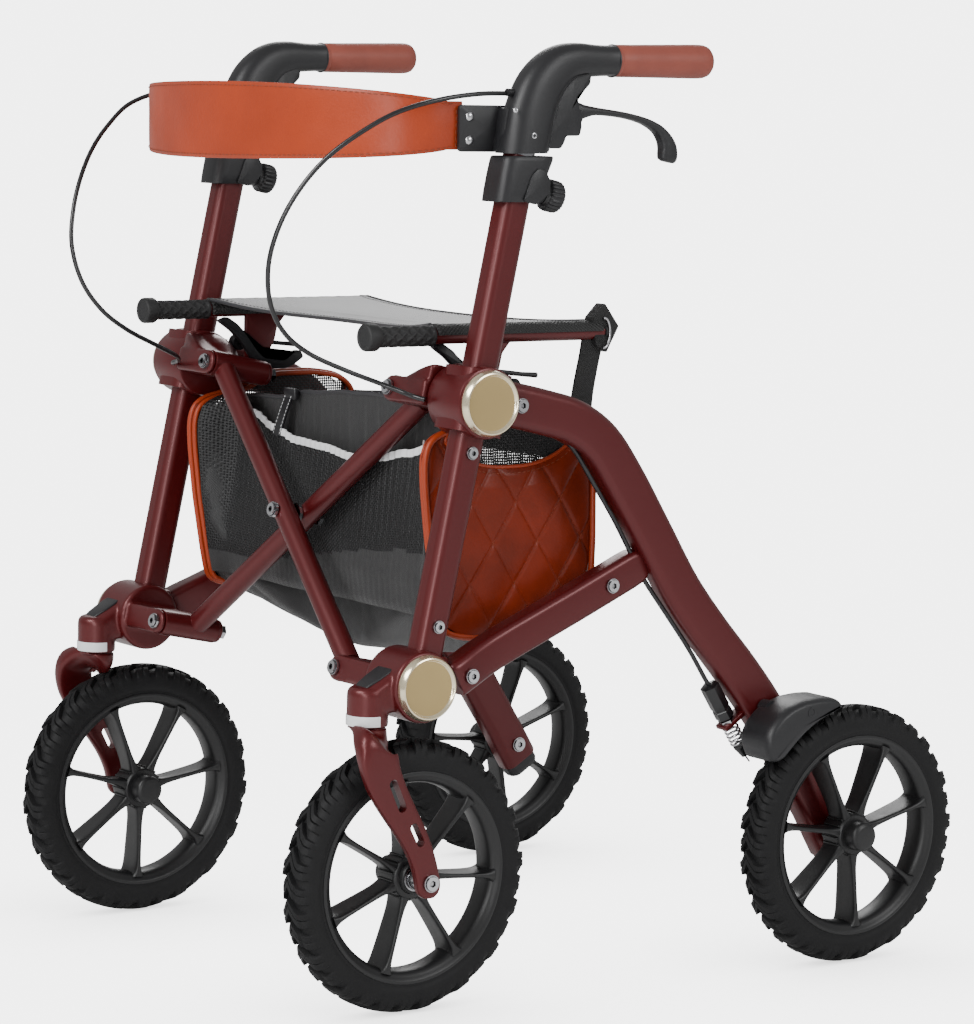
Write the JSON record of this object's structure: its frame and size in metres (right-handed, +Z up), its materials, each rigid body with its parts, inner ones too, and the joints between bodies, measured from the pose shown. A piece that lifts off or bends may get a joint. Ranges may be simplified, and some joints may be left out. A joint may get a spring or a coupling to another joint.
{
  "type": "rollator walker",
  "caption": "Side-folding four-wheeled rollator walker with caster front wheels, sling seat, bag, backrest strap and height-adjustable braked handles.",
  "frame": {"origin": "centre of the footprint on the ground, midway between the wheels", "axes": "+Z up, +Y towards the user at the back, +X to the walker's left, so it travels along -Y"},
  "size_m": [0.658, 0.74, 0.889],
  "materials": {
    "burgundy_paint": "satin",
    "champagne_metal": "satin",
    "bright_steel": "polished",
    "stem_aluminium": "satin",
    "black_plastic": "satin",
    "grip_leather": "matte",
    "cable_jacket": "gloss",
    "tyre_rubber": "matte",
    "seat_fabric": "matte",
    "bag_fabric": "matte",
    "strap_leather": "satin"
  },
  "bodies": {
    "frame_left": {"front_leg_left": "burgundy_paint", "upper_hub_left": "burgundy_paint", "lower_hub_left": "burgundy_paint", "hub_caps_left": "champagne_metal", "rear_leg_left": "burgundy_paint", "lower_strut_left": "burgundy_paint", "frame_bolts_left": "bright_steel", "post_collar_left": "black_plastic", "rear_cable_left": "cable_jacket", "rear_axle_left": "bright_steel"},
    "handle_left": {"handle_casting_left": "black_plastic", "handle_stem_left": "stem_aluminium", "grip_left": "grip_leather", "brake_cable_left": "cable_jacket", "backrest_strap": "strap_leather"},
    "knob_left": {"clamp_knob_left": "black_plastic"},
    "lever_left": {"brake_lever_left": "black_plastic"},
    "shoe_left": {"brake_shoe_left": "black_plastic"},
    "caster_left": {"caster_fork_left": "burgundy_paint", "front_axle_left": "bright_steel"},
    "front_wheel_left": {"front_rim_left": "black_plastic", "front_tyre_left": "tyre_rubber"},
    "rear_wheel_left": {"rear_rim_left": "black_plastic", "rear_tyre_left": "tyre_rubber"},
    "rail_left": {"seat_rail_left": "burgundy_paint", "rail_sleeve_left": "seat_fabric", "rail_bolt_left": "bright_steel", "seat_sling": "seat_fabric", "bag": "bag_fabric"},
    "latch_left": {"seat_latch_left": "black_plastic"},
    "frame_right": {"front_leg_right": "burgundy_paint", "upper_hub_right": "burgundy_paint", "lower_hub_right": "burgundy_paint", "hub_caps_right": "champagne_metal", "rear_leg_right": "burgundy_paint", "lower_strut_right": "burgundy_paint", "frame_bolts_right": "bright_steel", "post_collar_right": "black_plastic", "rear_cable_right": "cable_jacket", "rear_axle_right": "bright_steel"},
    "handle_right": {"handle_casting_right": "black_plastic", "handle_stem_right": "stem_aluminium", "grip_right": "grip_leather", "brake_cable_right": "cable_jacket"},
    "knob_right": {"clamp_knob_right": "black_plastic"},
    "lever_right": {"brake_lever_right": "black_plastic"},
    "shoe_right": {"brake_shoe_right": "black_plastic"},
    "caster_right": {"caster_fork_right": "burgundy_paint", "front_axle_right": "bright_steel"},
    "front_wheel_right": {"front_rim_right": "black_plastic", "front_tyre_right": "tyre_rubber"},
    "rear_wheel_right": {"rear_rim_right": "black_plastic", "rear_tyre_right": "tyre_rubber"},
    "rail_right": {"seat_rail_right": "burgundy_paint", "rail_sleeve_right": "seat_fabric", "rail_bolt_right": "bright_steel"},
    "latch_right": {"seat_latch_right": "black_plastic"},
    "brace_front": {"brace_front": "burgundy_paint", "brace_bolt": "bright_steel"},
    "brace_rear": {"brace_rear": "burgundy_paint"}
  },
  "joints": [
    {"name": "fold", "type": "hinge", "parent": "frame_left", "child": "brace_front", "pos_m": [0.165, -0.23389, 0.30277], "axis": [0, 0.9781, -0.2079], "range_deg": [0, 44], "deforming": ["seat_sling", "bag", "backrest_strap"]},
    {"name": "brace_cross", "type": "hinge", "parent": "brace_front", "child": "brace_rear", "pos_m": [0, -0.20644, 0.43189], "axis": [0, 0.9781, -0.2079], "range_deg": [-88, 0]},
    {"name": "right_frame_pivot", "type": "hinge", "parent": "brace_rear", "child": "frame_right", "pos_m": [-0.165, -0.23389, 0.30277], "axis": [0, 0.9781, -0.2079], "range_deg": [0, 44]},
    {"name": "right_rail_pivot", "type": "hinge", "parent": "brace_front", "child": "rail_right", "pos_m": [-0.165, -0.179, 0.561], "axis": [0, 0.9781, -0.2079], "range_deg": [-44, 0]},
    {"name": "left_rail_pivot", "type": "hinge", "parent": "brace_rear", "child": "rail_left", "pos_m": [0.165, -0.179, 0.561], "axis": [0, 0.9781, -0.2079], "range_deg": [0, 44]},
    {"name": "handle_slide_left", "type": "slide", "parent": "frame_left", "child": "handle_left", "axis": [0, 0.2079, 0.9781], "range_m": [0, 0.15], "deforming": ["brake_cable_left"]},
    {"name": "knob_turn_left", "type": "hinge", "parent": "frame_left", "child": "knob_left", "pos_m": [0.25, -0.11786, 0.75247], "axis": [0, 0.9781, -0.2079], "range_deg": [0, 360]},
    {"name": "brake_lever_left", "type": "hinge", "parent": "handle_left", "child": "lever_left", "pos_m": [0.25, -0.074, 0.82], "axis": [1, 0, 0], "range_deg": [0, 14], "stiffness_Nm_per_rad": 1, "springref_deg": -20.05},
    {"name": "brake_shoe_left", "type": "hinge", "parent": "frame_left", "child": "shoe_left", "pos_m": [0.29, 0.15, 0.256], "axis": [1, 0, 0], "range_deg": [-2.24, 0]},
    {"name": "caster_swivel_left", "type": "hinge", "parent": "frame_left", "child": "caster_left", "pos_m": [0.25, -0.289, 0.27], "axis": [0, 0, 1], "continuous": true},
    {"name": "front_wheel_spin_left", "type": "hinge", "parent": "caster_left", "child": "front_wheel_left", "pos_m": [0.246, -0.243, 0.127], "axis": [1, 0, 0], "continuous": true},
    {"name": "rear_wheel_spin_left", "type": "hinge", "parent": "frame_left", "child": "rear_wheel_left", "pos_m": [0.3, 0.243, 0.127], "axis": [1, 0, 0], "continuous": true},
    {"name": "seat_latch_left", "type": "hinge", "parent": "rail_left", "child": "latch_left", "pos_m": [0.21, -0.15, 0.583], "axis": [1, 0, 0], "range_deg": [0, 12], "stiffness_Nm_per_rad": 0.3, "springref_deg": -20.05},
    {"name": "handle_slide_right", "type": "slide", "parent": "frame_right", "child": "handle_right", "axis": [0, 0.2079, 0.9781], "range_m": [0, 0.15], "deforming": ["brake_cable_right"]},
    {"name": "knob_turn_right", "type": "hinge", "parent": "frame_right", "child": "knob_right", "pos_m": [-0.25, -0.11786, 0.75247], "axis": [0, 0.9781, -0.2079], "range_deg": [0, 360]},
    {"name": "brake_lever_right", "type": "hinge", "parent": "handle_right", "child": "lever_right", "pos_m": [-0.25, -0.074, 0.82], "axis": [1, 0, 0], "range_deg": [0, 14], "stiffness_Nm_per_rad": 1, "springref_deg": -20.05},
    {"name": "brake_shoe_right", "type": "hinge", "parent": "frame_right", "child": "shoe_right", "pos_m": [-0.29, 0.15, 0.256], "axis": [1, 0, 0], "range_deg": [-2.24, 0]},
    {"name": "caster_swivel_right", "type": "hinge", "parent": "frame_right", "child": "caster_right", "pos_m": [-0.25, -0.289, 0.27], "axis": [0, 0, -1], "continuous": true},
    {"name": "front_wheel_spin_right", "type": "hinge", "parent": "caster_right", "child": "front_wheel_right", "pos_m": [-0.246, -0.243, 0.127], "axis": [1, 0, 0], "continuous": true},
    {"name": "rear_wheel_spin_right", "type": "hinge", "parent": "frame_right", "child": "rear_wheel_right", "pos_m": [-0.3, 0.243, 0.127], "axis": [1, 0, 0], "continuous": true},
    {"name": "seat_latch_right", "type": "hinge", "parent": "rail_right", "child": "latch_right", "pos_m": [-0.21, -0.15, 0.583], "axis": [1, 0, 0], "range_deg": [0, 12], "stiffness_Nm_per_rad": 0.3, "springref_deg": -20.05}
  ],
  "couplings": [
    {"joint": "brace_cross", "follows": "fold", "ratio": -2},
    {"joint": "right_frame_pivot", "follows": "fold", "ratio": 1},
    {"joint": "right_rail_pivot", "follows": "fold", "ratio": -1},
    {"joint": "left_rail_pivot", "follows": "fold", "ratio": 1},
    {"joint": "brake_shoe_left", "follows": "brake_lever_left", "ratio": -0.16},
    {"joint": "brake_shoe_right", "follows": "brake_lever_right", "ratio": -0.16},
    {"joint": "handle_slide_right", "follows": "handle_slide_left", "ratio": 1}
  ]
}
